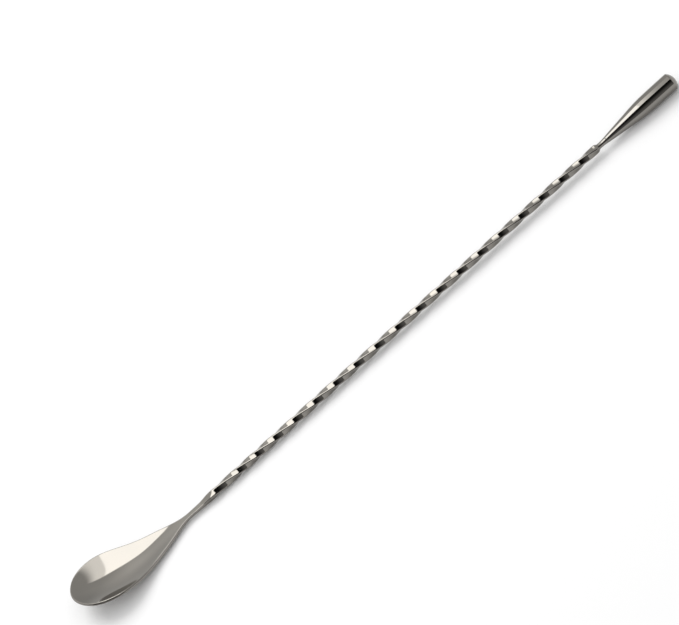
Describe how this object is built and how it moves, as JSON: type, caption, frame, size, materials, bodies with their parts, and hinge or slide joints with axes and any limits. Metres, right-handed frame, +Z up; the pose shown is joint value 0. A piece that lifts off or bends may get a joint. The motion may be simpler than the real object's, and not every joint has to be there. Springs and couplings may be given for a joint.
{
  "type": "bar spoon",
  "caption": "Long mixing spoon with an egg-shaped bowl, a right-hand twisted square stem and a turned teardrop counterweight, in polished gunmetal-coloured steel.",
  "frame": {"origin": "under the middle of the overall length, on the surface that the spoon lies on", "axes": "+X along the stem from the bowl to the counterweight, +Y across the bowl, +Z up out of the open bowl; the XZ plane cuts the bowl in half"},
  "size_m": [0.3048, 0.026, 0.0104],
  "materials": {
    "bowl_metal": "polished",
    "stem_metal": "polished",
    "weight_metal": "polished"
  },
  "bodies": {
    "root": {"bowl": "bowl_metal", "twisted_stem": "stem_metal", "counterweight": "weight_metal"}
  },
  "joints": []
}
